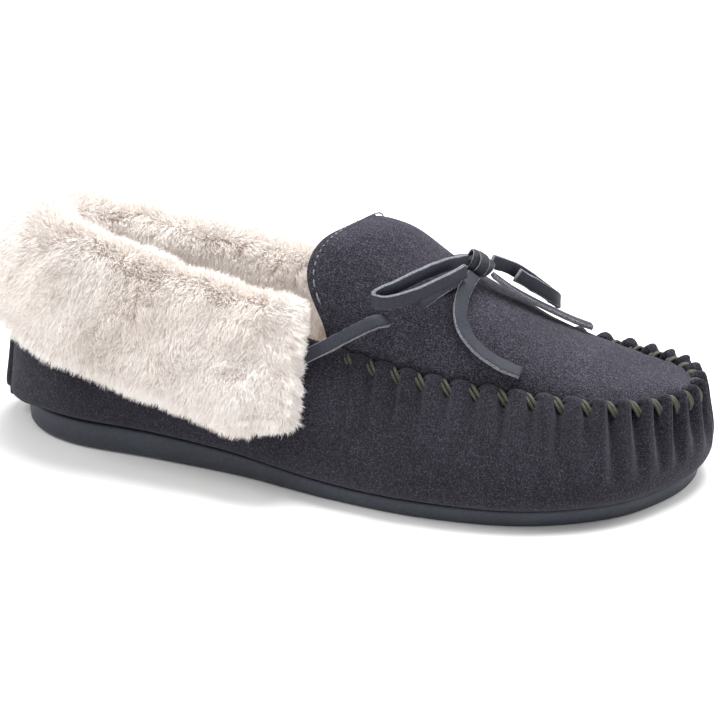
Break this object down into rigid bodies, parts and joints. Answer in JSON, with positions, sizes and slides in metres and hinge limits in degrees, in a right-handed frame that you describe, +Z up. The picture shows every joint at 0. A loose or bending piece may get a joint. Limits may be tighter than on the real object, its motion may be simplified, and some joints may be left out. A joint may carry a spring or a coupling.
{
  "type": "moccasin slipper",
  "caption": "Right-foot suede moccasin slipper with a folded plush cuff, whipstitched apron, thong bow and grooved rubber outsole.",
  "frame": {"origin": "centre of the bounding box in plan, on the surface that the outsole stands on", "axes": "+X from heel to toe, +Y towards the inner side of the right foot, +Z up"},
  "size_m": [0.264, 0.1038, 0.092],
  "materials": {
    "rubber_sole": "satin",
    "board": "matte",
    "foam": "matte",
    "pile": "short plush pile",
    "suede": "napped suede",
    "plush": "long faux-fur pile",
    "olive_thread": "waxed thread",
    "grey_thread": "thread",
    "thong_leather": "satin with raw cut edges"
  },
  "bodies": {
    "shoe": {"outsole": "rubber_sole", "bottom_filler": "board", "insole_board": "board", "foam_footbed": "foam", "sock_lining": "pile", "upper_wall": "suede", "heel_counter": "board", "wall_lining": "pile", "heel_tab": "suede", "apron": "suede", "apron_lining": "pile", "fur_cuff": "plush", "whipstitch_thread": "olive_thread", "tongue_stitching": "grey_thread", "lace_run": "thong_leather", "lace_knot": "thong_leather"},
    "loop_lateral": {"lateral_loop": "thong_leather"},
    "loop_medial": {"medial_loop": "thong_leather"},
    "tail_lateral": {"lateral_tail": "thong_leather"},
    "tail_medial": {"medial_tail": "thong_leather"}
  },
  "joints": [
    {"name": "lateral_loop_lift", "type": "hinge", "parent": "shoe", "child": "loop_lateral", "pos_m": [0.0442, 0, 0.0812], "axis": [-0.9029, 0.4299, 0], "range_deg": [0, 30]},
    {"name": "medial_loop_lift", "type": "hinge", "parent": "shoe", "child": "loop_medial", "pos_m": [0.0513, 0.0096, 0.0782], "axis": [0.7431, -0.6691, 0], "range_deg": [0, 30]},
    {"name": "lateral_tail_lift", "type": "hinge", "parent": "shoe", "child": "tail_lateral", "pos_m": [0.0477, -0.001, 0.0756], "axis": [-0.9939, 0.11, 0], "range_deg": [0, 8]},
    {"name": "medial_tail_lift", "type": "hinge", "parent": "shoe", "child": "tail_medial", "pos_m": [0.0533, 0.005, 0.074], "axis": [0.4239, -0.9057, 0], "range_deg": [0, 8]}
  ]
}
